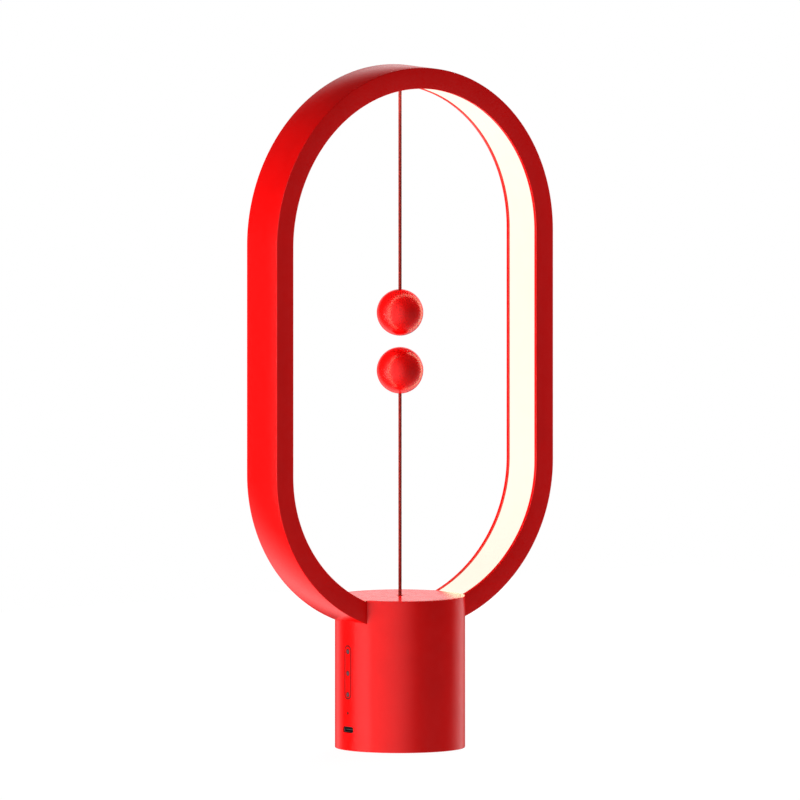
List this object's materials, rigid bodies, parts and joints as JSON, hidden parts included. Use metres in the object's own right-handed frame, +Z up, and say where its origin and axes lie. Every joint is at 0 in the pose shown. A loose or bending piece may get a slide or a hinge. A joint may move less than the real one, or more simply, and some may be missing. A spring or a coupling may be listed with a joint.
{
  "type": "magnetic balance lamp",
  "caption": "Table lamp: an upright oval light band on a drum base, switched by magnetic balls on strings that pull at each other across a gap.",
  "frame": {"origin": "centre of the foot ring's underside, on the surface the lamp stands on", "axes": "+Z up, X across the band's width, -Y the front; the button panel faces -X"},
  "size_m": [0.2, 0.0756, 0.398],
  "materials": {
    "red_plastic": "satin moulded",
    "red_gloss": "polished",
    "red_string": "braided",
    "opal_plastic": "diffusing opal",
    "grey_rubber": "matte",
    "black_rubber": "matte",
    "black_plastic": "moulded",
    "white_plastic": "moulded",
    "board_green": "lacquered board",
    "strip_white": "flexible circuit",
    "steel": "zinc plated",
    "nickel": "plated",
    "brass": "turned",
    "wire_red": "insulated wire"
  },
  "bodies": {
    "stand": {"frame_front_shell": "red_plastic", "frame_rear_cover": "red_plastic", "light_diffuser": "opal_plastic", "light_strip_left": "strip_white", "light_strip_right": "strip_white", "upper_string_anchor": "red_plastic", "base_housing": "red_plastic", "base_top_cap": "red_plastic", "lower_string_guide": "red_plastic", "bottom_cover": "black_plastic", "foot_ring": "black_rubber", "ballast_disc": "steel", "bottom_screw_1": "steel", "bottom_screw_2": "steel", "bottom_screw_3": "steel", "bottom_screw_4": "steel", "bracket_screw_1": "steel", "bracket_screw_2": "steel", "frame_screw_1": "steel", "frame_screw_2": "steel", "board_screw_1": "steel", "board_screw_2": "steel", "button_bezel": "red_plastic", "control_board": "board_green", "push_switch_upper": "black_plastic", "push_switch_middle": "black_plastic", "push_switch_lower": "black_plastic", "indicator_light": "white_plastic", "socket_shell": "nickel", "socket_tongue": "black_plastic", "mechanism_bracket": "black_plastic", "return_spring": "steel", "microswitch_body": "black_plastic", "light_lead_left": "wire_red", "light_lead_right": "wire_red", "switch_lead": "wire_red"},
    "upper_pivot": {"upper_string_bead": "brass"},
    "upper_pendulum": {"upper_string": "red_string", "upper_ball_shell": "red_gloss", "upper_ball_magnet": "nickel", "upper_ball_plug": "red_gloss"},
    "slider": {"switch_slider": "white_plastic", "lower_string_tail": "red_string"},
    "switch_arm": {"microswitch_lever": "steel"},
    "lower_pivot": {"lower_string_bead": "brass"},
    "lower_pendulum": {"lower_string": "red_string", "lower_ball_shell": "red_gloss", "lower_ball_magnet": "nickel", "lower_ball_plug": "red_gloss"},
    "upper_button": {"button_upper": "grey_rubber"},
    "middle_button": {"button_middle": "grey_rubber"},
    "lower_button": {"button_lower": "grey_rubber"}
  },
  "joints": [
    {"name": "upper_sway", "type": "hinge", "parent": "stand", "child": "upper_pivot", "pos_m": [0, 0, 0.3891], "axis": [0, 1, 0], "range_deg": [-25, 25]},
    {"name": "upper_swing", "type": "hinge", "parent": "upper_pivot", "child": "upper_pendulum", "pos_m": [0, 0, 0.3891], "axis": [1, 0, 0], "range_deg": [-25, 25]},
    {"name": "slider_slide", "type": "slide", "parent": "stand", "child": "slider", "axis": [0, 0, 1], "range_m": [-0.003, 0], "stiffness_N_per_m": 200, "springref_m": 0.004, "deforming": ["return_spring"]},
    {"name": "lever_hinge", "type": "hinge", "parent": "stand", "child": "switch_arm", "pos_m": [0.0095, -0.006, 0.0543], "axis": [1, 0, 0], "range_deg": [-18, 0]},
    {"name": "lower_sway", "type": "hinge", "parent": "slider", "child": "lower_pivot", "pos_m": [0, 0, 0.08626], "axis": [0, 1, 0], "range_deg": [-5.5, 5.5], "stiffness_Nm_per_rad": 0.15},
    {"name": "lower_swing", "type": "hinge", "parent": "lower_pivot", "child": "lower_pendulum", "pos_m": [0, 0, 0.08626], "axis": [1, 0, 0], "range_deg": [-5.5, 5.5], "stiffness_Nm_per_rad": 0.15},
    {"name": "upper_button_press", "type": "slide", "parent": "stand", "child": "upper_button", "axis": [1, 0, 0], "range_m": [0, 0.0005], "stiffness_N_per_m": 500},
    {"name": "middle_button_press", "type": "slide", "parent": "stand", "child": "middle_button", "axis": [1, 0, 0], "range_m": [0, 0.0005], "stiffness_N_per_m": 500},
    {"name": "lower_button_press", "type": "slide", "parent": "stand", "child": "lower_button", "axis": [1, 0, 0], "range_m": [0, 0.0005], "stiffness_N_per_m": 500}
  ],
  "couplings": [
    {"joint": "lever_hinge", "follows": "slider_slide", "rad_per_m": 104.17}
  ]
}
